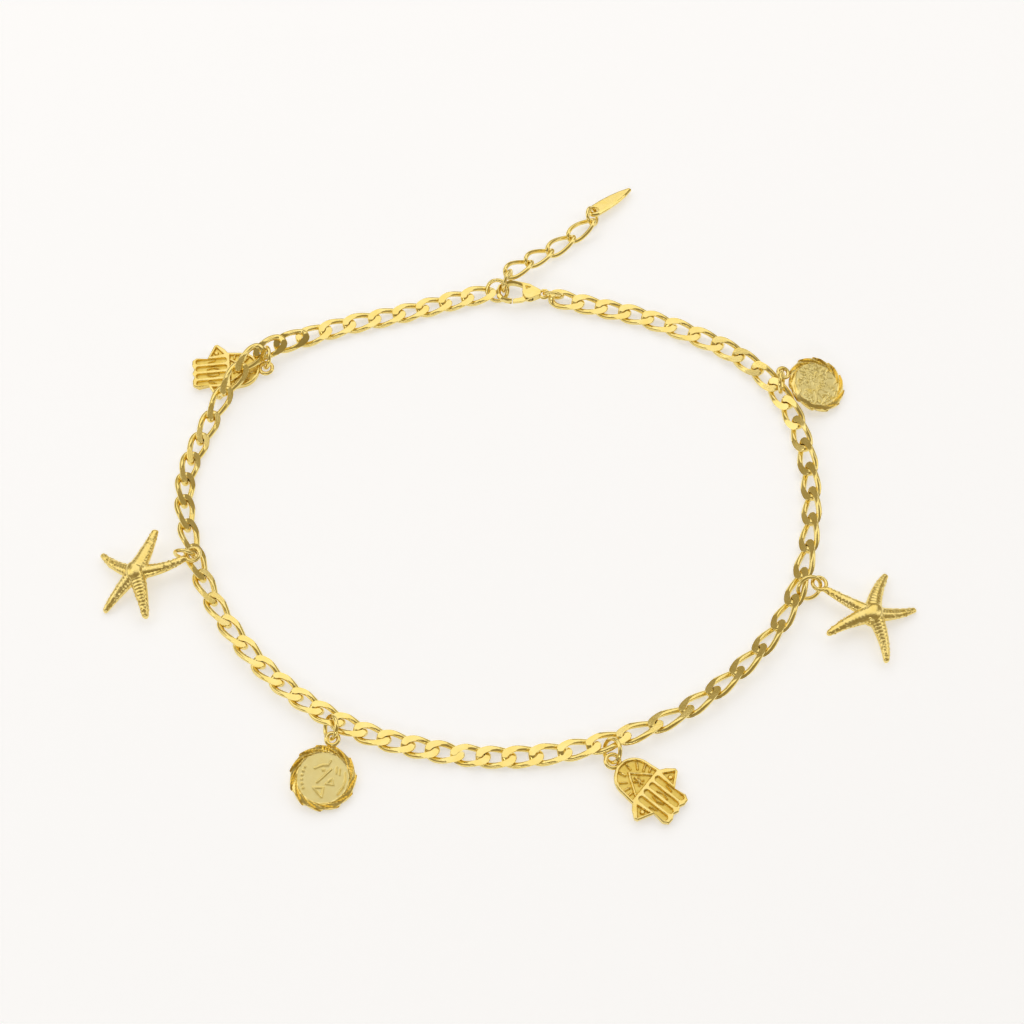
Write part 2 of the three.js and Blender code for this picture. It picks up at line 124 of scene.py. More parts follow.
TABLE_WHITE = (0.85, 0.85, 0.86, 1)
TABLE_GLOW = 0.44
TABLE_GLOW_COLOUR = (0.82, 0.88, 1, 1)
TABLE_HALF = 2.0
SHEET_TOOTH = {"Scale": 900.0, "Detail": 3.0}
SHEET_ROUGHNESS = 0.72
SHEET_UNEVENNESS = 0.1
ROOM_WALLS = (0.39, 0.325, 0.21, 1)
ROOM_CEILING = (0.27, 0.22, 0.135, 1)
SOFT_BOXES = [
    {"name": "back_box", "at": (0.0, 0.38, 0.58), "size": (1.00, 0.85), "power": 2.25},
    {"name": "left_box", "at": (-0.52, 0.02, 0.36), "size": (0.30, 0.60), "power": 0.52},
    {"name": "right_box", "at": (0.56, 0.04, 0.38), "size": (0.24, 0.50), "power": 0.36},
    {"name": "front_strip", "at": (-0.12, -0.40, 0.26), "size": (0.40, 0.06), "power": 0.2},
]
table_mesh = bpy.data.meshes.new("table")
table_corners = [(x * TABLE_HALF, y * TABLE_HALF, 0) for x, y in ((-1, -1), (1, -1), (1, 1), (-1, 1))]
table_mesh.from_pydata(table_corners, [], [(0, 1, 2, 3)])
table = bpy.data.objects.new("table", table_mesh)
bpy.context.collection.objects.link(table)
paper = bpy.data.materials.new("white_sheet")
paper.use_nodes = True
paper.node_tree.nodes.clear()
sheet_speck = add_node(paper.node_tree, "ShaderNodeTexNoise", SHEET_TOOTH)
sheet_rough = Value(paper.node_tree, sheet_speck.outputs[0]) * SHEET_UNEVENNESS + SHEET_ROUGHNESS
sheet_shader = add_node(
    paper.node_tree,
    "ShaderNodeBsdfPrincipled",
    {
        "Base Color": TABLE_WHITE,
        "Roughness": sheet_rough,
        "Emission Color": TABLE_GLOW_COLOUR,
        "Emission Strength": TABLE_GLOW,
    },
)
add_node(paper.node_tree, "ShaderNodeOutputMaterial", {"Surface": sheet_shader.outputs[0]})
table_mesh.materials.append(paper)

for box in SOFT_BOXES:
    light = bpy.data.lights.new(box["name"], "AREA")
    light.shape = "RECTANGLE"
    light.size, light.size_y = box["size"]
    light.energy = box["power"]
    holder = bpy.data.objects.new(box["name"], light)
    holder.location = box["at"]
    holder.rotation_euler = (-Vector(box["at"])).to_track_quat("-Z", "Y").to_euler()
    bpy.context.collection.objects.link(holder)

room = bpy.data.worlds.new("room")
room.use_nodes = True
room.node_tree.nodes.clear()
outward = add_node(room.node_tree, "ShaderNodeTexCoord")
upward = add_node(room.node_tree, "ShaderNodeSeparateXYZ", {0: outward.outputs["Generated"]})
steepness = Value(room.node_tree, upward.outputs["Z"]).limited(0, 1)
room_colour = add_node(
    room.node_tree,
    "ShaderNodeMix",
    {"Factor": steepness, "A": ROOM_WALLS, "B": ROOM_CEILING},
    data_type="RGBA",
)
room_light = add_node(
    room.node_tree, "ShaderNodeBackground", {"Color": room_colour.outputs["Result"], "Strength": 1.0}
)
add_node(room.node_tree, "ShaderNodeOutputWorld", {"Surface": room_light.outputs[0]})
bpy.context.scene.world = room
bpy.context.scene.view_settings.view_transform = "Standard"

# The curb chain: 65 twisted oval links of brass wire, filed flat above and below and gold plated.
# Each lies in its neighbours' ends. The loop starts at the end ring, runs down the left side,
# along the front and up the right side to the clasp.

# roll turns a link about the way of the chain, lift raises it, and links counts them up to the next row
CHAIN_PATH = [
    {"x": -5.0, "y": 36.1, "roll": -8, "lift": 0.2, "links": 3},
    {"x": -15.0, "y": 33.3, "roll": 0, "lift": 0, "links": 4},
    {"x": -29.1, "y": 29.0, "roll": -12, "lift": 0.1, "links": 3},
    {"x": -37.8, "y": 23.6, "roll": -58, "lift": 1.4, "links": 3},
    {"x": -43.5, "y": 12.6, "roll": -50, "lift": 0, "links": 3},
    {"x": -45.7, "y": 2.8, "roll": -45, "lift": 0, "links": 4},
    {"x": -41.4, "y": -12.3, "roll": -32, "lift": 0, "links": 4},
    {"x": -32.2, "y": -24.6, "roll": -20, "lift": 0, "links": 4},
    {"x": -21.2, "y": -32.2, "roll": -15, "lift": 0.2, "links": 4},
    {"x": -8.8, "y": -35.6, "roll": 0, "lift": 0, "links": 3},
    {"x": 1.3, "y": -36.2, "roll": 0, "lift": 0, "links": 3},
    {"x": 12.4, "y": -34.3, "roll": -20, "lift": 0.2, "links": 3},
    {"x": 24.8, "y": -28.6, "roll": -28, "lift": 0, "links": 4},
    {"x": 36.9, "y": -16.1, "roll": -36, "lift": 0, "links": 4},
    {"x": 41.6, "y": 0.1, "roll": -46, "lift": 0, "links": 4},
    {"x": 40.0, "y": 15.3, "roll": -40, "lift": 0, "links": 3},
    {"x": 34.3, "y": 24.1, "roll": -22, "lift": 0, "links": 4},
    {"x": 21.7, "y": 31.3, "roll": -6, "lift": 0, "links": 4},
    {"x": 8.1, "y": 35.1, "roll": -8, "lift": 0.2, "links": 1},
]
LEFT_LINKS = 33
NUDGE = 0.0001
CURB_WIRE = 0.82
CURB_WIDTH = 3.05
CURB_TWIST = 44
CURB_SQUARENESS = 3.0
CURB_OVERLAP = 1.85
CURB_STEP = 0.03
CURB_FLAT = 0.62
FILED_FLAT = 0.48
END_SWELL = 0.26
SWELL_POWER = 3
# The wire of the chain's solids, from which a rolled link's height over the table is worked out
SOLID_WIRE = 0.7
MEETING_OVERLAP = 1.78
MEETING_TWIST = 60
LINK_POINTS = 48
LINK_SIDES = 20
SHARPEST_ROUND = math.radians(26)
CLOUD_SCALE = 700.0
CLOUD_RANGE = (0.3, 0.7)
GRAIN_DEPTH = 0.05
POLISHED_PLATE = (0.95, 0.79, 0.33, 1)
POLISHED_SHADE = (0.90, 0.71, 0.22, 1)


def gold_finish(name, colour, shade, roughness, unevenness, grain, grain_size):
    """Gold plate: a warm metal whose colour and gloss vary a little, over a fine cast or rolled grain."""
    gold = bpy.data.materials.new(name)
    gold.use_nodes = True
    tree = gold.node_tree
    tree.nodes.clear()
    place = add_node(tree, "ShaderNodeTexCoord").outputs["Object"]
    noise = add_node(tree, "ShaderNodeTexNoise", {"Vector": place, "Scale": CLOUD_SCALE, "Detail": 3.0})
    cloud = Value(tree, noise.outputs[0])
    low, high = CLOUD_RANGE
    patch = (cloud.limited(low, high) - low) / (high - low)
    tone = add_node(tree, "ShaderNodeMix", {"Factor": patch, "A": shade, "B": colour}, data_type="RGBA")
    gloss = (cloud - (low + high) / 2) * unevenness + roughness
    fineness = 1 / (grain_size * MM)
    speck = add_node(tree, "ShaderNodeTexNoise", {"Vector": place, "Scale": fineness, "Detail": 4.0})
    depth = {"Strength": grain, "Distance": GRAIN_DEPTH * MM}
    bump = add_node(tree, "ShaderNodeBump", {"Height": speck.outputs[0], **depth})
    metal = add_node(
        tree,
        "ShaderNodeBsdfPrincipled",
        {
            "Base Color": tone.outputs["Result"],
            "Metallic": 1.0,
            "Roughness": gloss,
            "Normal": bump.outputs[0],
        },
    )
    add_node(tree, "ShaderNodeOutputMaterial", {"Surface": metal.outputs[0]})
    return gold


link_gold = gold_finish(
    "link_gold", POLISHED_PLATE, POLISHED_SHADE, roughness=0.17, unevenness=0.1, grain=0.1, grain_size=0.25
)


def path_point(corners, along):
    """The point at along, from 0 to 1, of a smooth centripetal curve through the corners."""
    last = len(corners) - 1
    index = min(int(along * last), last - 1)
    part = along * last - index
    p1, p2 = corners[index], corners[index + 1]
    p0 = corners[index - 1] if index > 0 else 2 * corners[0] - corners[1]
    p3 = corners[index + 2] if index + 2 <= last else 2 * corners[last] - corners[last - 1]
    d0, d1, d2 = math.sqrt((p1 - p0).length), math.sqrt((p2 - p1).length), math.sqrt((p3 - p2).length)
    leave = ((p1 - p0) / d0 - (p2 - p0) / (d0 + d1) + (p2 - p1) / d1) * d1
    arrive = ((p2 - p1) / d1 - (p3 - p1) / (d1 + d2) + (p3 - p2) / d2) * d1
    square = 3 * (p2 - p1) - 2 * leave - arrive
    cube = 2 * (p1 - p2) + leave + arrive
    return p1 + leave * part + square * part**2 + cube * part**3


def blended(first, second, part):
    return first + (second - first) * part


def chain_places():
    """Each link's frame: centre, way of the chain, inward and up, with how far it reaches each way."""
    corners = [Vector((row["x"], row["y"], 0)) for row in CHAIN_PATH]
    stretches = len(corners) - 1
    bare = []
    for index, row in enumerate(CHAIN_PATH):
        onward = CHAIN_PATH[min(index + 1, stretches)]
        for step in range(row["links"]):
            part = step / row["links"]
            along = min((index + part) / stretches, 1)
            way = path_point(corners, min(along + NUDGE, 1)) - path_point(corners, max(along - NUDGE, 0))
            roll = math.radians(blended(row["roll"], onward["roll"], part))
            lift = blended(row["lift"], onward["lift"], part)
            bare.append((path_point(corners, along), way.normalized(), roll, lift))
    places = []
    for index, (centre, way, roll, lift) in enumerate(bare):
        before = (centre - bare[max(index - 1, 0)][0]).length
        after = (centre - bare[min(index + 1, len(bare) - 1)][0]).length
        meets = index == LEFT_LINKS
        back = ((before or after) + (2 * MEETING_OVERLAP - CURB_OVERLAP if meets else CURB_OVERLAP)) / 2
        front = ((after or before) + CURB_OVERLAP) / 2
        inward = Vector((-way.y * math.cos(roll), way.x * math.cos(roll), math.sin(roll)))
        up = way.cross(inward)
        rise = CURB_FLAT + lift + (CURB_STEP if index % 2 else -CURB_STEP)
        rise += (CURB_WIDTH - SOLID_WIRE) / 2 * abs(math.sin(roll))
        places.append(
            {
                "centre": (centre + Vector((0, 0, rise)) + way * (front - back) / 2) * MM + TABLE_POINT,
                "way": way,
                "inward": inward,
                "up": up,
                "reach": (front + back - CURB_WIRE) / 2 * MM,
                "twist_back": math.radians(MEETING_TWIST if meets else CURB_TWIST),
                "twist_front": math.radians(MEETING_TWIST if index == LEFT_LINKS - 1 else CURB_TWIST),
            }
        )
    return places


def points_with(name, rows):
    """An object of loose points, one for each row, that carries the row's values as attributes."""
    mesh = bpy.data.meshes.new(name)
    mesh.from_pydata([row["centre"] for row in rows], [], [])
    for key in rows[0]:
        if isinstance(rows[0][key], Vector):
            values = mesh.attributes.new(key, "FLOAT_VECTOR", "POINT")
            values.data.foreach_set("vector", [number for row in rows for number in row[key]])
        else:
            values = mesh.attributes.new(key, "FLOAT", "POINT")
            values.data.foreach_set("value", [row[key] for row in rows])
    points = bpy.data.objects.new(name, mesh)
    bpy.context.collection.objects.link(points)
    return points


def new_tree(name, sizes):
    """A geometry node tree that takes the points and the named sizes, and its input and output nodes."""
    tree = bpy.data.node_groups.new(name, "GeometryNodeTree")
    tree.interface.new_socket(name="Places", in_out="INPUT", socket_type="NodeSocketGeometry")
    for size in sizes:
        tree.interface.new_socket(name=size, in_out="INPUT", socket_type="NodeSocketFloat")
    tree.interface.new_socket(name="Finish", in_out="INPUT", socket_type="NodeSocketMaterial")
    tree.interface.new_socket(name="Pieces", in_out="OUTPUT", socket_type="NodeSocketGeometry")
    return tree, tree.nodes.new("NodeGroupInput"), tree.nodes.new("NodeGroupOutput")


def carried(tree, name, data_type="FLOAT_VECTOR"):
    """The value of an attribute that the points carry."""
    made = add_node(tree, "GeometryNodeInputNamedAttribute", {"Name": name}, data_type=data_type)
    return Value(tree, next(socket for socket in made.outputs if socket.enabled))


def added(tree, *vectors):
    total = vectors[0]
    for vector in vectors[1:]:
        made = add_node(tree, "ShaderNodeVectorMath", {0: total, 1: vector}, operation="ADD")
        total = Value(tree, made.outputs["Vector"])
    return total


def scaled(tree, vector, amount):
    made = add_node(tree, "ShaderNodeVectorMath", {0: vector, "Scale": amount}, operation="SCALE")
    return Value(tree, made.outputs["Vector"])


def numbered_on_each_place(tree, places, curve):
    """Puts a curve on every place, realized, with each point's own number on its curve as 'number'."""
    index = add_node(tree, "GeometryNodeInputIndex").outputs[0]
    counted = add_node(
        tree,
        "GeometryNodeStoreNamedAttribute",
        {"Geometry": curve, "Name": "number", "Value": index},
        data_type="FLOAT",
    )
    put = add_node(tree, "GeometryNodeInstanceOnPoints", {"Points": places, "Instance": counted.outputs[0]})
    return add_node(tree, "GeometryNodeRealizeInstances", {"Geometry": put.outputs[0]}).outputs[0]


def finished(tree, outcome, geometry, finish):
    """Shades the geometry smooth but for its sharp edges, coats it and sends it out of the tree."""
    smooth = add_node(tree, "GeometryNodeSetShadeSmooth", {"Geometry": geometry})
    angle = Value(tree, add_node(tree, "GeometryNodeInputMeshEdgeAngle").outputs["Unsigned Angle"])
    rounded = angle.math("LESS_THAN", SHARPEST_ROUND)
    edged = add_node(
        tree,
        "GeometryNodeSetShadeSmooth",
        {"Geometry": smooth.outputs[0], "Shade Smooth": rounded},
        domain="EDGE",
    )
    coated = add_node(tree, "GeometryNodeSetMaterial", {"Geometry": edged.outputs[0], "Material": finish})
    tree.links.new(coated.outputs[0], outcome.inputs[0])


def curb_link_tree():
    """Bends a round wire to an oval link at each place, twists it, swells its ends and files it flat."""
    tree, given, outcome = new_tree("curb_links", ["Wire", "Width", "Squareness", "Flat", "Swell"])
    wire, width = Value(tree, given.outputs["Wire"]), Value(tree, given.outputs["Width"])
    flat = Value(tree, given.outputs["Flat"])
    loop = add_node(tree, "GeometryNodeCurvePrimitiveCircle", {"Resolution": LINK_POINTS, "Radius": MM})
    loops = numbered_on_each_place(tree, given.outputs["Places"], loop.outputs[0])
    around = carried(tree, "number", "FLOAT") * (2 * math.pi / LINK_POINTS)
    power = 2 / Value(tree, given.outputs["Squareness"])
    reach = carried(tree, "reach", "FLOAT")
    lengthwise = around.math("COSINE").signed_power(power)
    sideways = around.math("SINE").signed_power(power) * (width - wire) * 0.5
    ahead = lengthwise.math("GREATER_THAN", 0.0)
    back, front = carried(tree, "twist_back", "FLOAT"), carried(tree, "twist_front", "FLOAT")
    angle = (back + (front - back) * ahead) * lengthwise * -1
    up = carried(tree, "up")
    centre = carried(tree, "centre")
    spot = added(
        tree,
        centre,
        scaled(tree, carried(tree, "way"), reach * lengthwise),
        scaled(tree, carried(tree, "inward"), sideways * angle.math("COSINE")),
        scaled(tree, up, sideways * angle.math("SINE")),
    )
    bent = add_node(tree, "GeometryNodeSetPosition", {"Geometry": loops, "Position": spot})
    fullness = lengthwise.math("ABSOLUTE") ** SWELL_POWER * Value(tree, given.outputs["Swell"]) + 1
    swelled = add_node(tree, "GeometryNodeSetCurveRadius", {"Curve": bent.outputs[0], "Radius": fullness})
    round_wire = {"Resolution": LINK_SIDES, "Radius": wire * 0.5}
    section = add_node(tree, "GeometryNodeCurvePrimitiveCircle", round_wire)
    drawn = add_node(
        tree,
        "GeometryNodeCurveToMesh",
        {"Curve": swelled.outputs[0], "Profile Curve": section.outputs[0], "Scale": fullness},
    )
    here = add_node(tree, "GeometryNodeInputPosition").outputs[0]
    offset = add_node(tree, "ShaderNodeVectorMath", {0: here, 1: centre}, operation="SUBTRACT")
    both = {0: offset.outputs["Vector"], 1: up}
    high = add_node(tree, "ShaderNodeVectorMath", both, operation="DOT_PRODUCT")
    height = Value(tree, high.outputs["Value"])
    change = height.limited(flat * -1, flat) - height
    filed = add_node(
        tree, "GeometryNodeSetPosition", {"Geometry": drawn.outputs[0], "Offset": scaled(tree, up, change)}
    )
    finished(tree, outcome, filed.outputs[0], given.outputs["Finish"])
    return tree


def made_by(tree, name, rows, sizes, finish):
    """Runs a node tree on rows of places and keeps the outcome as a plain mesh object."""
    points = points_with(name, rows)
    modifier = points.modifiers.new(name, "NODES")
    modifier.node_group = tree
    for item in tree.interface.items_tree:
        if item.in_out == "INPUT" and item.name in sizes:
            modifier[item.identifier] = sizes[item.name]
        elif item.in_out == "INPUT" and item.name == "Finish":
            modifier[item.identifier] = finish
    shown = points.evaluated_get(bpy.context.evaluated_depsgraph_get())
    mesh = bpy.data.meshes.new_from_object(shown)
    points.modifiers.clear()
    bare = points.data
    points.data = mesh
    bpy.data.meshes.remove(bare)
    mesh.name = name
    return points


curb_links = curb_link_tree()
curb_sizes = {
    "Wire": CURB_WIRE * MM,
    "Width": CURB_WIDTH * MM,
    "Squareness": CURB_SQUARENESS,
    "Flat": FILED_FLAT * MM,
    "Swell": END_SWELL,
}
all_places = chain_places()
for side, rows in (("left", all_places[:LEFT_LINKS]), ("right", all_places[LEFT_LINKS:])):
    half = made_by(curb_links, f"curb_links_{side}", rows, curb_sizes, link_gold)
    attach(half, "anklet")
    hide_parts(f"chain_{side}")

# The extender: four thinner links of the same gold plated wire in a short row, left round.
# The first stands on the end ring's side, and the row comes down to the table towards the tag.
EXTENDER_PLACES = [
    {"x": 0.9, "y": 39.98, "z": 2.43, "turn": 37.8, "tip": 4.4, "lean": 12.6},
    {"x": 4.02, "y": 42.72, "z": 1.56, "turn": 38.4, "tip": 1.5, "lean": 11.7},
    {"x": 7.34, "y": 45.21, "z": 1.14, "turn": 39.2, "tip": 2.1, "lean": 1.6},
    {"x": 10.51, "y": 48, "z": 1.25, "turn": 41.4, "tip": 1.3, "lean": -4.4},
]
EXTENDER_LENGTH = 5.6
EXTENDER_WIDTH = 2.9
EXTENDER_WIRE = 0.66
EXTENDER_TWIST = 45
EXTENDER_SQUARENESS = 2.6


def laid(place):
    """The matrix that puts a piece made in millimetres on the table: turned, tipped up and leaned."""
    spot = Vector((place["x"], place["y"], place["z"])) * MM + TABLE_POINT
    turn = Matrix.Rotation(math.radians(place["turn"]), 4, "Z")
    tip = Matrix.Rotation(math.radians(place["tip"]), 4, "X")
    lean = Matrix.Rotation(math.radians(place.get("lean", 0)), 4, "Y")
    return Matrix.Translation(spot) @ turn @ tip @ lean @ Matrix.Scale(MM, 4)


def axes_of(matrix):
    return [matrix.col[column].to_3d().normalized() for column in range(3)]


extender_sizes = {
    "Wire": EXTENDER_WIRE * MM,
    "Width": EXTENDER_WIDTH * MM,
    "Squareness": EXTENDER_SQUARENESS,
    "Flat": EXTENDER_WIDTH * MM,
    "Swell": 0.0,
}
for number, place in enumerate(EXTENDER_PLACES, start=1):
    matrix = laid(place)
    way, inward, up = axes_of(matrix)
    twist = math.radians(EXTENDER_TWIST)
    row = {
        "centre": matrix.translation,
        "way": way,
        "inward": inward,
        "up": up,
        "reach": (EXTENDER_LENGTH - EXTENDER_WIRE) / 2 * MM,
        "twist_back": twist,
        "twist_front": twist,
    }
    piece = made_by(curb_links, f"extender_curb_{number}", [row], extender_sizes, link_gold)
    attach(piece, "anklet")
    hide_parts(f"extender_link_{number}")

# The jump rings: round gold plated wire bent to a circle and closed, with the cut still to be
# seen. One holds each charm on a strand of the chain, and four join the clasp, the chain's end,
# the extender and the tag.

# outer is a ring's width outside, and seam says where its cut is, in degrees
JUMP_RINGS = [
    {
        "name": "ring_hamsa_left", "outer": 3.6, "seam": 40,
        "x": -35.75, "y": 24.54, "z": 1.68, "turn": 101.8, "tip": 112.6,
    },
    {
        "name": "ring_starfish_left", "outer": 3.5, "seam": 60,
        "x": -44.5, "y": -7.79, "z": 2.14, "turn": 169.7, "tip": 87.6,
    },
    {
        "name": "ring_coin_left", "outer": 3.6, "seam": 150,
        "x": -23.51, "y": -32.54, "z": 1.55, "turn": 281, "tip": 56.3,
    },
    {
        "name": "ring_hamsa_right", "outer": 3.6, "seam": 20,
        "x": 12.93, "y": -35.71, "z": 1.57, "turn": 285.5, "tip": 54.1,
    },
    {
        "name": "ring_starfish_right", "outer": 3.8, "seam": 200,
        "x": 40.22, "y": -12.49, "z": 1.68, "turn": 18.2, "tip": 53.8,
    },
    {
        "name": "ring_coin_right", "outer": 3.6, "seam": 120,
        "x": 38.75, "y": 19.91, "z": 2.41, "turn": 78.5, "tip": 77,
    },
    {
        "name": "ring_end", "outer": 3.7, "seam": 110,
        "x": -2.19, "y": 36.62, "z": 1.38, "turn": -12, "tip": 45.3,
    },
    {
        "name": "ring_extender", "outer": 3.8, "seam": 230,
        "x": -0.71, "y": 37.93, "z": 1.96, "turn": 68.4, "tip": 89.7,
    },
    {
        "name": "ring_clasp", "outer": 3.3, "seam": 300,
        "x": 6.14, "y": 35.63, "z": 1.56, "turn": -8.1, "tip": 111.6,
    },
    {
        "name": "ring_tag", "outer": 3.2, "seam": 250,
        "x": 12.23, "y": 50.36, "z": 1.44, "turn": 78.1, "tip": 56.8,
    },
]
RING_WIRE = 0.56
RING_WIRE_HEAVY = 0.6
RING_SWEEP = 357
RING_POINTS = 64
RING_SIDES = 16


def jump_ring_tree():
    """Bends a wire to a ring at each place, all but closed at its cut."""
    tree, given, outcome = new_tree("jump_rings", ["Wire", "Sweep"])
    line = add_node(tree, "GeometryNodeCurvePrimitiveLine", {"End": (MM, 0, 0)})
    fine = add_node(tree, "GeometryNodeResampleCurve", {"Curve": line.outputs[0], "Count": RING_POINTS})
    lines = numbered_on_each_place(tree, given.outputs["Places"], fine.outputs[0])
    sweep = Value(tree, given.outputs["Sweep"])
    part = carried(tree, "number", "FLOAT") / (RING_POINTS - 1)
    angle = carried(tree, "cut", "FLOAT") + part * sweep
    radius = carried(tree, "bend", "FLOAT")
    spot = added(
        tree,
        carried(tree, "centre"),
        scaled(tree, carried(tree, "way"), radius * angle.math("COSINE")),
        scaled(tree, carried(tree, "inward"), radius * angle.math("SINE")),
    )
    bent = add_node(tree, "GeometryNodeSetPosition", {"Geometry": lines, "Position": spot})
    wire = Value(tree, given.outputs["Wire"]) * 0.5
    section = add_node(tree, "GeometryNodeCurvePrimitiveCircle", {"Resolution": RING_SIDES, "Radius": wire})
    drawn = add_node(
        tree,
        "GeometryNodeCurveToMesh",
        {"Curve": bent.outputs[0], "Profile Curve": section.outputs[0], "Fill Caps": True},
    )
    finished(tree, outcome, drawn.outputs[0], given.outputs["Finish"])
    return tree


jump_rings = jump_ring_tree()
for ring in JUMP_RINGS:
    wire = RING_WIRE_HEAVY if ring["name"] == "ring_end" else RING_WIRE
    matrix = laid(ring)
    way, inward, up = axes_of(matrix)
    row = {
        "centre": matrix.translation,
        "way": way,
        "inward": inward,
        "bend": (ring["outer"] - wire) / 2 * MM,
        "cut": math.radians(ring["seam"]),
    }
    sizes = {"Wire": wire * MM, "Sweep": math.radians(RING_SWEEP)}
    piece = made_by(jump_rings, ring["name"].replace("ring", "jump_ring"), [row], sizes, link_gold)
    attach(piece, "anklet")
    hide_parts(ring["name"])

# The lobster clasp: a small gold plated casting, tumbled until its edges are round and then
# polished, with a window over the lever. The lever turns on a pin through the body.
CLASP_GRAIN = 0.05
CLASP_ROUNDS = 3
WELD_DISTANCE = 0.0005
SOFTENING = 0.5
clasp_gold = gold_finish(
    "clasp_gold", POLISHED_PLATE, POLISHED_SHADE, roughness=0.14, unevenness=0.08, grain=0.08, grain_size=0.4
)


def merged_copy(node):
    """A copy of a CAD node's mesh in millimetres, with its loose triangles joined."""
    form = bmesh.new()
    form.from_mesh(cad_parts[node].data)
    bmesh.ops.scale(form, vec=(1 / MM,) * 3, verts=form.verts)
    bmesh.ops.remove_doubles(form, verts=form.verts, dist=WELD_DISTANCE)
    return form


def tumbled(form, name, grain, rounds, finish, matrix):
    """Joins a form's closed shells into one skin, rounds it, and puts it in place as an object."""
    mesh = bpy.data.meshes.new(name)
    form.to_mesh(mesh)
    form.free()
    piece = bpy.data.objects.new(name, mesh)
    bpy.context.collection.objects.link(piece)
    skin = piece.modifiers.new("skin", "REMESH")
    skin.mode = "VOXEL"
    skin.voxel_size = grain
    skin.use_smooth_shade = True
    soften = piece.modifiers.new("soften", "SMOOTH")
    soften.factor = SOFTENING
    soften.iterations = rounds
    shown = piece.evaluated_get(bpy.context.evaluated_depsgraph_get())
    solid = bpy.data.meshes.new_from_object(shown)
    piece.modifiers.clear()
    piece.data = solid
    bpy.data.meshes.remove(mesh)
    solid.name = name
    solid.transform(matrix)
    solid.materials.clear()
    solid.materials.append(finish)
    for face in solid.polygons:
        face.use_smooth = True
    return piece


for node, body in (("clasp_body", "anklet"), ("clasp_lever", "clasp_lever")):
    form = merged_copy(node)
    piece = tumbled(form, f"polished_{node}", CLASP_GRAIN, CLASP_ROUNDS, clasp_gold, Matrix.Scale(MM, 4))
    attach(piece, body)
    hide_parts(node)

# The starfish: gold plated castings with a smooth domed middle and five arms, faintly ribbed
# and set with rows of uneven grains. One arm curls to a soldered eyelet.
STARFISH_EYELET = {"at": 8.1, "radius": 0.95, "wire": 0.55, "thick": 0.55, "height": 0.38}

# An arm sets out at start degrees and bends to end, and root and tip are its radii there
STARFISH = [
    {
        "name": "starfish_left", "x": -50.91, "y": -10.3, "z": 1.11, "turn": -73.6, "tip": 10.2, "lean": 1.4,
        "arms": [
            {"start": 74, "end": 106, "length": 7.5, "root": 0.75, "tip": 0.5},
            {"start": 139, "end": 151, "length": 6.9, "root": 0.95, "tip": 0.5},
            {"start": 239, "end": 204, "length": 6.6, "root": 0.75, "tip": 0.4},
            {"start": 300, "end": 310, "length": 6.9, "root": 0.85, "tip": 0.45},
            {"start": 365, "end": 352, "length": 6.9, "root": 0.9, "tip": 0.5},
        ],
    },
    {
        "name": "starfish_right", "x": 48.29, "y": -16.42, "z": 0.81, "turn": 56.7, "tip": 5.2, "lean": 4.6,
        "arms": [
            {"start": 96, "end": 88, "length": 7.5, "root": 0.75, "tip": 0.5},
            {"start": 141, "end": 157, "length": 7.2, "root": 0.9, "tip": 0.45},
            {"start": 238, "end": 210, "length": 7.1, "root": 0.85, "tip": 0.45},
            {"start": 302, "end": 328, "length": 6.7, "root": 0.8, "tip": 0.4},
            {"start": 24, "end": -6, "length": 7.2, "root": 0.9, "tip": 0.45},
        ],
    },
]
STARFISH_CAP = {"radius": 1.4, "top": 2.25, "half": 0.6, "oval": 0.8}
STARFISH_WEB = {"radius": 1.9, "top": 1.6, "half": 0.8, "oval": 1.0}
ARM_FULLNESS = 1.34
TIP_FINENESS = 0.9
ARM_PART = (0.12, 0.985)
ARM_FLATNESS = 0.85
ARM_SIDES = 20
ARM_STATIONS = 60
ARM_RIBS = 13
RIB_DEPTH = 0.009
TIP_ROUNDING = {"from": 0.94, "over": 0.062, "least": 0.02}
MOUND_SEGMENTS = 36
MOUND_RINGS = 20
BEAD_TURNS = (-58, -20, 20, 58)
BEAD_TURN_SWAY = 19
BEAD_START = 0.3
BEAD_SPACING = 0.58
BEAD_SHIFT = 0.42
BEAD_SIZE = 0.1
BEAD_GROWTH = 0.08
BEAD_SPREAD = (0.8, 1.2)
BEAD_SINK = 0.07
CAST_GRAIN = 0.075
CAST_ROUNDS = 1
CAST_PLATE = (0.94, 0.78, 0.33, 1)
CAST_SHADE = (0.87, 0.67, 0.20, 1)
cast_gold = gold_finish(
    "cast_gold", CAST_PLATE, CAST_SHADE, roughness=0.24, unevenness=0.16, grain=0.3, grain_size=0.18
)


def loft(form, rings):
    """Joins rings of points into a closed tube with a point cap at each end."""
    rows = [[form.verts.new(point) for point in ring] for ring in rings]
    for first, second in zip(rows, rows[1:]):
        count = len(first)
        for i in range(count):
            j = (i + 1) % count
            form.faces.new((first[i], first[j], second[j], second[i]))
    for row, turned in ((rows[0], True), (rows[-1], False)):
        tip = form.verts.new(sum((vert.co for vert in row), Vector()) / len(row))
        for i in range(len(row)):
            j = (i + 1) % len(row)
            form.faces.new((row[j], row[i], tip) if turned else (row[i], row[j], tip))


def add_eyelet(form, eyelet, stations=40, sides=14):
    """A flat soldered ring on the charm's +Y axis."""
    grid = []
    for i in range(stations):
        angle = 2 * math.pi * i / stations
        row = []
        for j in range(sides):
            section = 2 * math.pi * j / sides
            reach = eyelet["radius"] + eyelet["wire"] / 2 * math.cos(section)
            height = eyelet["height"] + eyelet["thick"] / 2 * math.sin(section)
            point = (reach * math.cos(angle), eyelet["at"] + reach * math.sin(angle), height)
            row.append(form.verts.new(point))
        grid.append(row)
    for i in range(stations):
        k = (i + 1) % stations
        for j in range(sides):
            m = (j + 1) % sides
            form.faces.new((grid[i][j], grid[k][j], grid[k][m], grid[i][m]))


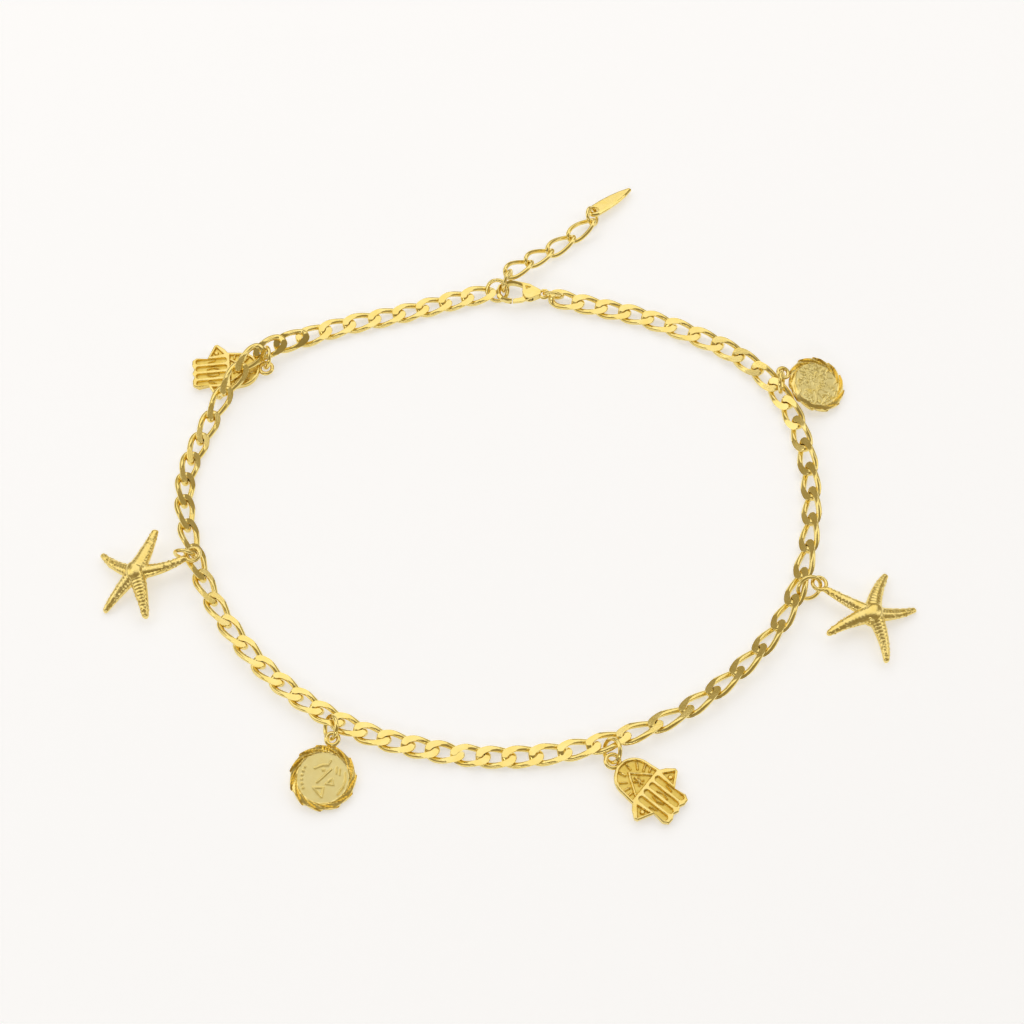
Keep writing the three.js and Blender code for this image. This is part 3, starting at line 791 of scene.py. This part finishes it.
def arm_spot(arm, part):
    """The middle of an arm at part of its length, and its heading there."""
    first = math.radians(arm["start"])
    bend = math.radians(arm["end"] - arm["start"])
    heading = first + bend * part
    x = arm["length"] * (math.sin(heading) - math.sin(first)) / bend
    y = arm["length"] * (math.cos(first) - math.cos(heading)) / bend
    return Vector((x, y, 0)), Vector((-math.sin(heading), math.cos(heading), 0))


def arm_radius(arm, part):
    return blended(arm["root"] * ARM_FULLNESS, arm["tip"] * TIP_FINENESS, part)


def add_arm(form, arm):
    """A bent arm of egg-shaped section, ribbed along its length and rounded off at its end."""
    rings = []
    for station in range(ARM_STATIONS + 1):
        part = station / ARM_STATIONS
        middle, side = arm_spot(arm, blended(*ARM_PART, part))
        radius = arm_radius(arm, part)
        radius *= 1 + RIB_DEPTH * math.cos(2 * math.pi * ARM_RIBS * part)
        past = max(0, part - TIP_ROUNDING["from"]) / TIP_ROUNDING["over"]
        radius *= math.sqrt(max(TIP_ROUNDING["least"], 1 - past**2))
        ring = []
        for i in range(ARM_SIDES):
            angle = 2 * math.pi * i / ARM_SIDES
            height = radius * (1 + math.sin(angle)) * ARM_FLATNESS
            ring.append(middle - side * radius * math.cos(angle) + Vector((0, 0, height)))
        rings.append(ring)
    loft(form, rings)


def add_bead(form, spot, radius):
    bmesh.ops.create_icosphere(form, subdivisions=2, radius=radius, matrix=Matrix.Translation(spot))


def starfish_form(starfish, dice):
    """The middle, the eyelet, the arms and their grains, as closed shells that run into each other."""
    form = bmesh.new()
    for mound in (STARFISH_WEB, STARFISH_CAP):
        rise = Matrix.Translation((0, 0, mound["top"] - mound["half"]))
        oval = Matrix.Diagonal((mound["radius"], mound["radius"] * mound["oval"], mound["half"], 1))
        fineness = {"u_segments": MOUND_SEGMENTS, "v_segments": MOUND_RINGS}
        bmesh.ops.create_uvsphere(form, **fineness, radius=1, matrix=rise @ oval)
    add_eyelet(form, STARFISH_EYELET)
    for arm in starfish["arms"]:
        add_arm(form, arm)
        for count in range(ARM_RIBS):
            for turn in BEAD_TURNS:
                shift = dice.uniform(-BEAD_SHIFT, BEAD_SHIFT)
                part = BEAD_START + (BEAD_SPACING * count + shift) / ARM_RIBS
                middle, side = arm_spot(arm, part)
                radius = arm_radius(arm, part)
                lean = math.radians(turn + dice.uniform(-BEAD_TURN_SWAY, BEAD_TURN_SWAY))
                out = side * radius * math.sin(lean)
                height = radius * (1 + math.cos(lean)) * ARM_FLATNESS - BEAD_SINK
                size = (BEAD_SIZE + BEAD_GROWTH * radius) * dice.uniform(*BEAD_SPREAD)
                add_bead(form, middle + out + Vector((0, 0, height)), size)
    return form


for starfish in STARFISH:
    form = starfish_form(starfish, random.Random(starfish["name"]))
    name = f"cast_{starfish['name']}"
    piece = tumbled(form, name, CAST_GRAIN, CAST_ROUNDS, cast_gold, laid(starfish))
    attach(piece, "anklet")
    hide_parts(starfish["name"])

# The coins: gold plated discs, struck with a satin field of raised strokes inside a rim of
# slanted diamond cuts, and a soldered eyelet. The satin field is painted a paler gold as a
# sheen. The left field is sparse, the right one is full.
COIN = {"radius": 4.38, "back": 4.15, "crest": 4.1, "field": 3.3, "rim": 0.95, "floor": 0.6, "edge": 0.3}
COIN_CUTS = 11
CUT_SLANT = 1.7
CUT_DEPTH = 0.38
CUT_RIDGE = 0.8
CUT_NOTCH = 0.26
RIM_FOOT = 0.05
RIM_SHOULDER = 0.2
RIM_FALL = 0.3
COIN_EYELET = {"at": 5.22, "radius": 0.78, "wire": 0.58, "thick": 0.5, "height": 0.45}
COINS = [
    {"name": "coin_left", "x": -24.29, "y": -39.15, "z": 0.6, "turn": -11, "tip": 5.1, "lean": 6.2},
    {"name": "coin_right", "x": 43.74, "y": 19.96, "z": 1.22, "turn": 77.8, "tip": 16.6, "lean": -1.5},
]
STROKE_HEIGHT = 0.16
STROKE_SIDE = 0.07
STROKE_REACH = 2.6

# A stroke runs from x, y to x, y, and its last number is its width
SPARSE_STROKES = [
    (-1.3, 1.0, -0.4, 1.6, 0.22), (-0.4, 1.6, 0.3, 1.75, 0.22), (0.3, 1.75, 0.5, 2.4, 0.2),
    (-0.6, -0.7, 0.75, 1.25, 0.26), (0.55, -0.7, 1.5, -0.62, 0.2), (1.5, -0.62, 1.15, 0.1, 0.2),
    (1.15, 0.1, 0.55, -0.7, 0.2), (-0.95, -1.5, 0.4, -2.5, 0.22), (0.4, -2.5, 0.35, -1.25, 0.22),
    (-0.95, -1.5, 0.35, -1.25, 0.18), (1.55, 0.9, 1.4, 1.7, 0.16), (2.0, 0.8, 1.9, 1.5, 0.16),
    (2.62, 1.2, 2.85, 0.3, 0.2), (2.85, 0.3, 2.8, -0.6, 0.2), (2.8, -0.6, 2.3, -1.7, 0.2),
    (-0.2, 0.95, -0.1, 0.98, 0.3),
]
DOT_ROW = [(-2.55, 0.9), (-2.65, 0.35), (-2.68, -0.2), (-2.6, -0.75), (-2.42, -1.3), (-2.15, -1.8)]
DOT_SIZE = 0.26
DOT_RUN = 0.01
CHOPS = {"seed": 7, "count": 150, "spread": 3.1, "sway": 12, "half": (0.12, 0.42), "width": (0.12, 0.2)}
CHOP_TURNS = (10, 55, 100, 145)
SHARP_EDGE = math.radians(38)
# The satin field's gold is paler than the cast gold: a painted sheen over a real satin grain
SATIN_PAINTED_SHEEN_PLATE = (0.98, 0.87, 0.43, 1)
SATIN_PAINTED_SHEEN_DEEP = (0.95, 0.81, 0.34, 1)
PLATE_SPOKES = 360
PLATE_ROWS = 72
coin_gold = gold_finish(
    "coin_gold", CAST_PLATE, CAST_SHADE, roughness=0.19, unevenness=0.12, grain=0.12, grain_size=0.2
)
satin_painted_sheen_gold = gold_finish(
    "satin_painted_sheen_gold", SATIN_PAINTED_SHEEN_PLATE, SATIN_PAINTED_SHEEN_DEEP, roughness=0.34, unevenness=0.12, grain=0.5, grain_size=0.1
)


def smooth_step(low, high, value):
    part = min(1.0, max(0.0, (value - low) / (high - low)))
    return part * part * (3 - 2 * part)


def stroke_distance(x, y, stroke):
    """How far a point lies from the middle line of a stroke between two points."""
    x0, y0, x1, y1 = stroke[:4]
    run_x, run_y = x1 - x0, y1 - y0
    part = ((x - x0) * run_x + (y - y0) * run_y) / (run_x * run_x + run_y * run_y)
    part = min(1.0, max(0.0, part))
    return math.hypot(x - x0 - part * run_x, y - y0 - part * run_y)


def stroked(x, y, strokes):
    """1 on a stroke, 0 away from all of them and in between on their slanted sides."""
    raised = 0.0
    for stroke in strokes:
        half = stroke[4] / 2
        if abs(x - (stroke[0] + stroke[2]) / 2) > STROKE_REACH or raised == 1:
            continue
        away = stroke_distance(x, y, stroke)
        raised = max(raised, 1 - smooth_step(half - STROKE_SIDE, half + STROKE_SIDE, away))
    return raised


def relief_plate(middle, reach_at, height_at, back, satin_and_painted_light_at):
    """A plate with a relief on its face. Its outline lies reach_at(angle) from the middle, and each
    row of back gives a share of that reach and a height. The last argument says where the face is
    satin and takes the second finish, whose colour paints light there: a sheen on the coins, shade
    in the hamsa's recesses."""
    form = bmesh.new()
    angles = [2 * math.pi * spoke / PLATE_SPOKES for spoke in range(PLATE_SPOKES)]
    reaches = [reach_at(angle) for angle in angles]
    rows = []
    for step in range(1, PLATE_ROWS + 1):
        row = []
        for angle, reach in zip(angles, reaches):
            x = middle[0] + reach * step / PLATE_ROWS * math.cos(angle)
            y = middle[1] + reach * step / PLATE_ROWS * math.sin(angle)
            row.append(form.verts.new((x, y, height_at(x, y))))
        rows.append(row)
    for share, height in back:
        row = []
        for angle, reach in zip(angles, reaches):
            x = middle[0] + reach * share * math.cos(angle)
            y = middle[1] + reach * share * math.sin(angle)
            row.append(form.verts.new((x, y, height)))
        rows.append(row)
    top = form.verts.new((middle[0], middle[1], height_at(*middle)))
    under = form.verts.new((middle[0], middle[1], 0))
    for step, (first, second) in enumerate(zip(rows, rows[1:]), start=1):
        for i in range(PLATE_SPOKES):
            j = (i + 1) % PLATE_SPOKES
            face = form.faces.new((first[i], second[i], second[j], first[j]))
            face.material_index = int(step < PLATE_ROWS and satin_and_painted_light_at(*face.calc_center_median().xy))
    for i in range(PLATE_SPOKES):
        j = (i + 1) % PLATE_SPOKES
        face = form.faces.new((top, rows[0][i], rows[0][j]))
        face.material_index = int(satin_and_painted_light_at(*middle))
        form.faces.new((rows[-1][i], under, rows[-1][j]))
    return form


def cut_phase(x, y):
    """Where a place on the rim lies in its diamond cut, from one ridge to the next."""
    across = (math.hypot(x, y) - COIN["field"]) / (COIN["radius"] - COIN["field"])
    return (math.atan2(y, x) * COIN_CUTS / (2 * math.pi) - across * CUT_SLANT) % 1


def cut_rise(phase):
    """How high a place in a cut stands, from 0 in the groove to 1 on the ridge near its far side."""
    return phase / CUT_RIDGE if phase < CUT_RIDGE else (1 - phase) / (1 - CUT_RIDGE)


def coin_reach(angle):
    phase = cut_phase(COIN["radius"] * math.cos(angle), COIN["radius"] * math.sin(angle))
    return COIN["radius"] - CUT_NOTCH * (1 - cut_rise(phase))


def coin_height(x, y, strokes):
    """The height of the coin's face: the field with its strokes, then the cut rim."""
    radius = math.hypot(x, y)
    if radius <= COIN["field"]:
        return COIN["floor"] + STROKE_HEIGHT * stroked(x, y, strokes)
    crown = smooth_step(COIN["field"] - RIM_FOOT, COIN["field"] + RIM_SHOULDER, radius)
    cut = CUT_DEPTH * (1 - cut_rise(cut_phase(x, y)))
    fall = RIM_FALL * smooth_step(COIN["crest"], COIN["radius"], radius)
    return COIN["floor"] + (COIN["rim"] - COIN["floor"] - cut) * crown - fall


def chopped_strokes(dice):
    """Short raised strokes at a few angles, close together over the whole field."""
    strokes = []
    for _ in range(CHOPS["count"]):
        angle = dice.uniform(0, 2 * math.pi)
        radius = CHOPS["spread"] * math.sqrt(dice.random())
        x, y = radius * math.cos(angle), radius * math.sin(angle)
        turn = math.radians(dice.choice(CHOP_TURNS) + dice.uniform(-CHOPS["sway"], CHOPS["sway"]))
        half = dice.uniform(*CHOPS["half"])
        run_x, run_y = half * math.cos(turn), half * math.sin(turn)
        strokes.append((x - run_x, y - run_y, x + run_x, y + run_y, dice.uniform(*CHOPS["width"])))
    return strokes


def placed_form(form, name, finishes, matrix):
    """Turns a form into an object in its place, smooth but for its sharpest edges."""
    mesh = bpy.data.meshes.new(name)
    form.to_mesh(mesh)
    mesh.transform(matrix)
    for finish in finishes:
        mesh.materials.append(finish)
    for face in mesh.polygons:
        face.use_smooth = True
    mesh.set_sharp_from_angle(angle=SHARP_EDGE)
    piece = bpy.data.objects.new(name, mesh)
    bpy.context.collection.objects.link(piece)
    return piece


coin_back = ((1.0, COIN["edge"]), (COIN["back"] / COIN["radius"], 0), (0.5, 0))
coin_strokes = {
    "coin_left": [*SPARSE_STROKES, *((x, y, x + DOT_RUN, y, DOT_SIZE) for x, y in DOT_ROW)],
    "coin_right": chopped_strokes(random.Random(CHOPS["seed"])),
}
# Each coin's field takes the paler satin gold of painted sheen
for coin in COINS:
    strokes = coin_strokes[coin["name"]]
    form = relief_plate(
        (0, 0),
        coin_reach,
        lambda x, y: coin_height(x, y, strokes),
        coin_back,
        lambda x, y: math.hypot(x, y) < COIN["field"],
    )
    add_eyelet(form, COIN_EYELET)
    piece = placed_form(form, f"struck_{coin['name']}", (coin_gold, satin_painted_sheen_gold), laid(coin))
    form.free()
    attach(piece, "anklet")
    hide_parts(coin["name"])

# The hamsa hands: gold plated cast plates with a raised outline and crossbar. Four slots part
# the fingers, the palm has a triangle with strokes about it, and each flare holds a grain.
# The sunk parts are satin, rougher and grained, and painted a darker gold as the shade in them.
HAMSA = {"thick": 0.95, "floor": 0.58, "round": 0.2, "rim": 0.42, "dome_radius": 2.75, "dome_height": 1.7}
HAMSA_EYELET = {"at": 5.35, "radius": 0.9, "wire": 0.58, "thick": 0.52, "height": 0.45}

# The outline's corners on the right, from the wrist down to the middle finger
HAMSA_FLARE = [(2.95, -0.05), (3.6, -0.5), (4.42, -1.5), (4.3, -1.95), (2.2, -3.05)]
HAMSA_FINGERS = [(2.45, -4.6), (2.05, -5.25), (1.25, -5.3), (0.65, -5.0), (0, -5.3)]
HAMSAS = [
    {"name": "hamsa_left", "x": -41.1, "y": 22.72, "z": 0.41, "turn": -84.2, "tip": 0.5, "lean": 4.8},
    {"name": "hamsa_right", "x": 17.07, "y": -40.32, "z": 0.38, "turn": 50.9, "tip": 3.6, "lean": 0.9},
]
HAMSA_MIDDLE = (0, -1.2)
HAMSA_BACK = ((1.0, 0.35), (0.97, 0), (0.5, 0))
DOME_STEPS = 24
STROKE_SHARE = 0.8
SATIN_AND_PAINTED_SHADE_DEPTH = 0.25
NEARLY_NONE = 1e-9
MEETING_SLACK = 1e-6
CROSSBAR_TOP = 0.22
SLOTS = [(x, -0.62, x, -4.35, 0.72) for x in (-1.74, -0.58, 0.58, 1.74)]
FLARE_RECESS = [(2.75, -0.65), (3.95, -1.68), (2.5, -2.5)]
PALM_STROKES = [
    (0, 2.75, -1.75, 0.35, 0.3), (0, 2.75, 1.75, 0.35, 0.3), (-0.45, 0.7, 0.45, 1.45, 0.2),
    (0.45, 0.7, -0.45, 1.45, 0.2), (0, 0.55, 0, 1.75, 0.2), (-1.15, 2.2, -1.7, 2.75, 0.24),
    (-1.5, 1.5, -2.2, 1.75, 0.24), (-1.9, 0.85, -2.3, 0.95, 0.24), (1.15, 2.2, 1.7, 2.75, 0.24),
    (1.5, 1.5, 2.2, 1.75, 0.24), (1.9, 0.85, 2.3, 0.95, 0.24), (-0.55, 2.9, -0.7, 3.7, 0.24),
    (0.55, 2.9, 0.7, 3.7, 0.24),
]
FINGER_STROKES = [
    (-1.85, -2.0, -1.6, -2.9, 0.16), (-0.45, -1.5, -0.7, -2.3, 0.16), (-0.7, -2.3, -0.45, -3.1, 0.16),
    (0.45, -1.5, 0.7, -2.3, 0.16), (0.7, -2.3, 0.45, -3.1, 0.16), (1.85, -2.0, 1.6, -2.9, 0.16),
]
FLARE_GRAINS = [(-3.0, -1.7, -2.99, -1.7, 0.55), (3.0, -1.7, 3.01, -1.7, 0.55)]
# The sunk parts' gold is painted darker than the cast gold: painted shade in the recesses, over a real satin
# grain
PAINTED_SHADE_RECESS_PLATE = (0.90, 0.70, 0.20, 1)
PAINTED_SHADE_RECESS_DEEP = (0.78, 0.56, 0.11, 1)
hamsa_gold = gold_finish(
    "hamsa_gold", CAST_PLATE, CAST_SHADE, roughness=0.2, unevenness=0.12, grain=0.15, grain_size=0.2
)
painted_shade_recess_gold = gold_finish(
    "painted_shade_recess_gold", PAINTED_SHADE_RECESS_PLATE, PAINTED_SHADE_RECESS_DEEP, roughness=0.34, unevenness=0.14, grain=0.5, grain_size=0.12
)


def hamsa_outline():
    """The hand's outline: the fingers and the flare on the right, the round wrist, then the left."""
    radius, height = HAMSA["dome_radius"], HAMSA["dome_height"]
    dome = []
    for step in range(DOME_STEPS + 1):
        angle = math.pi * step / DOME_STEPS
        dome.append((radius * math.cos(angle), height + radius * math.sin(angle)))
    right = HAMSA_FINGERS[::-1] + HAMSA_FLARE[::-1]
    left = [(-x, y) for x, y in reversed(right)][:-1]
    return right + dome + left


outline = hamsa_outline()
outline_runs = [(*first, *second) for first, second in zip(outline, outline[1:] + outline[:1])]


def hamsa_reach(angle):
    """How far the outline lies from the middle in a direction."""
    way_x, way_y = math.cos(angle), math.sin(angle)
    farthest = 0
    for x0, y0, x1, y1 in outline_runs:
        from_x, from_y = x0 - HAMSA_MIDDLE[0], y0 - HAMSA_MIDDLE[1]
        run_x, run_y = x1 - x0, y1 - y0
        turned = way_x * run_y - way_y * run_x
        if abs(turned) > NEARLY_NONE:
            reach = (from_x * run_y - from_y * run_x) / turned
            share = (from_x * way_y - from_y * way_x) / turned
            if reach > 0 and -MEETING_SLACK <= share <= 1 + MEETING_SLACK:
                farthest = max(farthest, reach)
    return farthest


def inside_triangle(x, y, corners):
    """How deep a point lies inside a triangle given clockwise, below 0 outside it."""
    depth = math.inf
    for (x0, y0), (x1, y1) in zip(corners, corners[1:] + corners[:1]):
        run = math.hypot(x1 - x0, y1 - y0)
        depth = min(depth, ((y1 - y0) * (x - x0) - (x1 - x0) * (y - y0)) / run)
    return depth


def hamsa_recess(x, y, from_edge):
    """1 where the plate is sunk, before the strokes in it are raised."""
    side = STROKE_SIDE
    if y > 0:
        deep = min(from_edge - HAMSA["rim"], y - CROSSBAR_TOP)
        return smooth_step(-side, side, deep)
    slots = stroked(x, y, SLOTS)
    flares = smooth_step(-side, side, inside_triangle(abs(x), y, FLARE_RECESS))
    return max(slots, flares)


def hamsa_height(x, y):
    """The height of the hand's face, with its edge rounded off."""
    from_edge = min(stroke_distance(x, y, run) for run in outline_runs)
    sunk = hamsa_recess(x, y, from_edge)
    if sunk:
        sunk *= 1 - STROKE_SHARE * stroked(x, y, PALM_STROKES if y > 0 else FINGER_STROKES + FLARE_GRAINS)
    edge = HAMSA["round"]
    rounding = edge * (1 - math.sqrt(max(0, 1 - max(0, 1 - from_edge / edge) ** 2)))
    return HAMSA["thick"] - rounding - sunk * (HAMSA["thick"] - HAMSA["floor"])


# Faces sunk deeper than the depth below take the darker gold of painted shade
form = relief_plate(
    HAMSA_MIDDLE,
    hamsa_reach,
    hamsa_height,
    HAMSA_BACK,
    lambda x, y: hamsa_height(x, y) < HAMSA["thick"] - SATIN_AND_PAINTED_SHADE_DEPTH,
)
add_eyelet(form, HAMSA_EYELET)
for hamsa in HAMSAS:
    piece = placed_form(form, f"cast_{hamsa['name']}", (hamsa_gold, painted_shade_recess_gold), laid(hamsa))
    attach(piece, "anklet")
    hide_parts(hamsa["name"])
form.free()

# The tag: a long drop cut from thick gold plated sheet, with bevelled edges that are rounded
# and polished, and a hole for its ring. It is bare on both sides.
TAG_GRAIN = 0.06
TAG_ROUNDS = 3
tag_gold = gold_finish(
    "tag_gold", POLISHED_PLATE, POLISHED_SHADE, roughness=0.13, unevenness=0.06, grain=0.06, grain_size=0.5
)
piece = tumbled(merged_copy("tag"), "polished_tag", TAG_GRAIN, TAG_ROUNDS, tag_gold, Matrix.Scale(MM, 4))
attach(piece, "anklet")
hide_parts("tag")
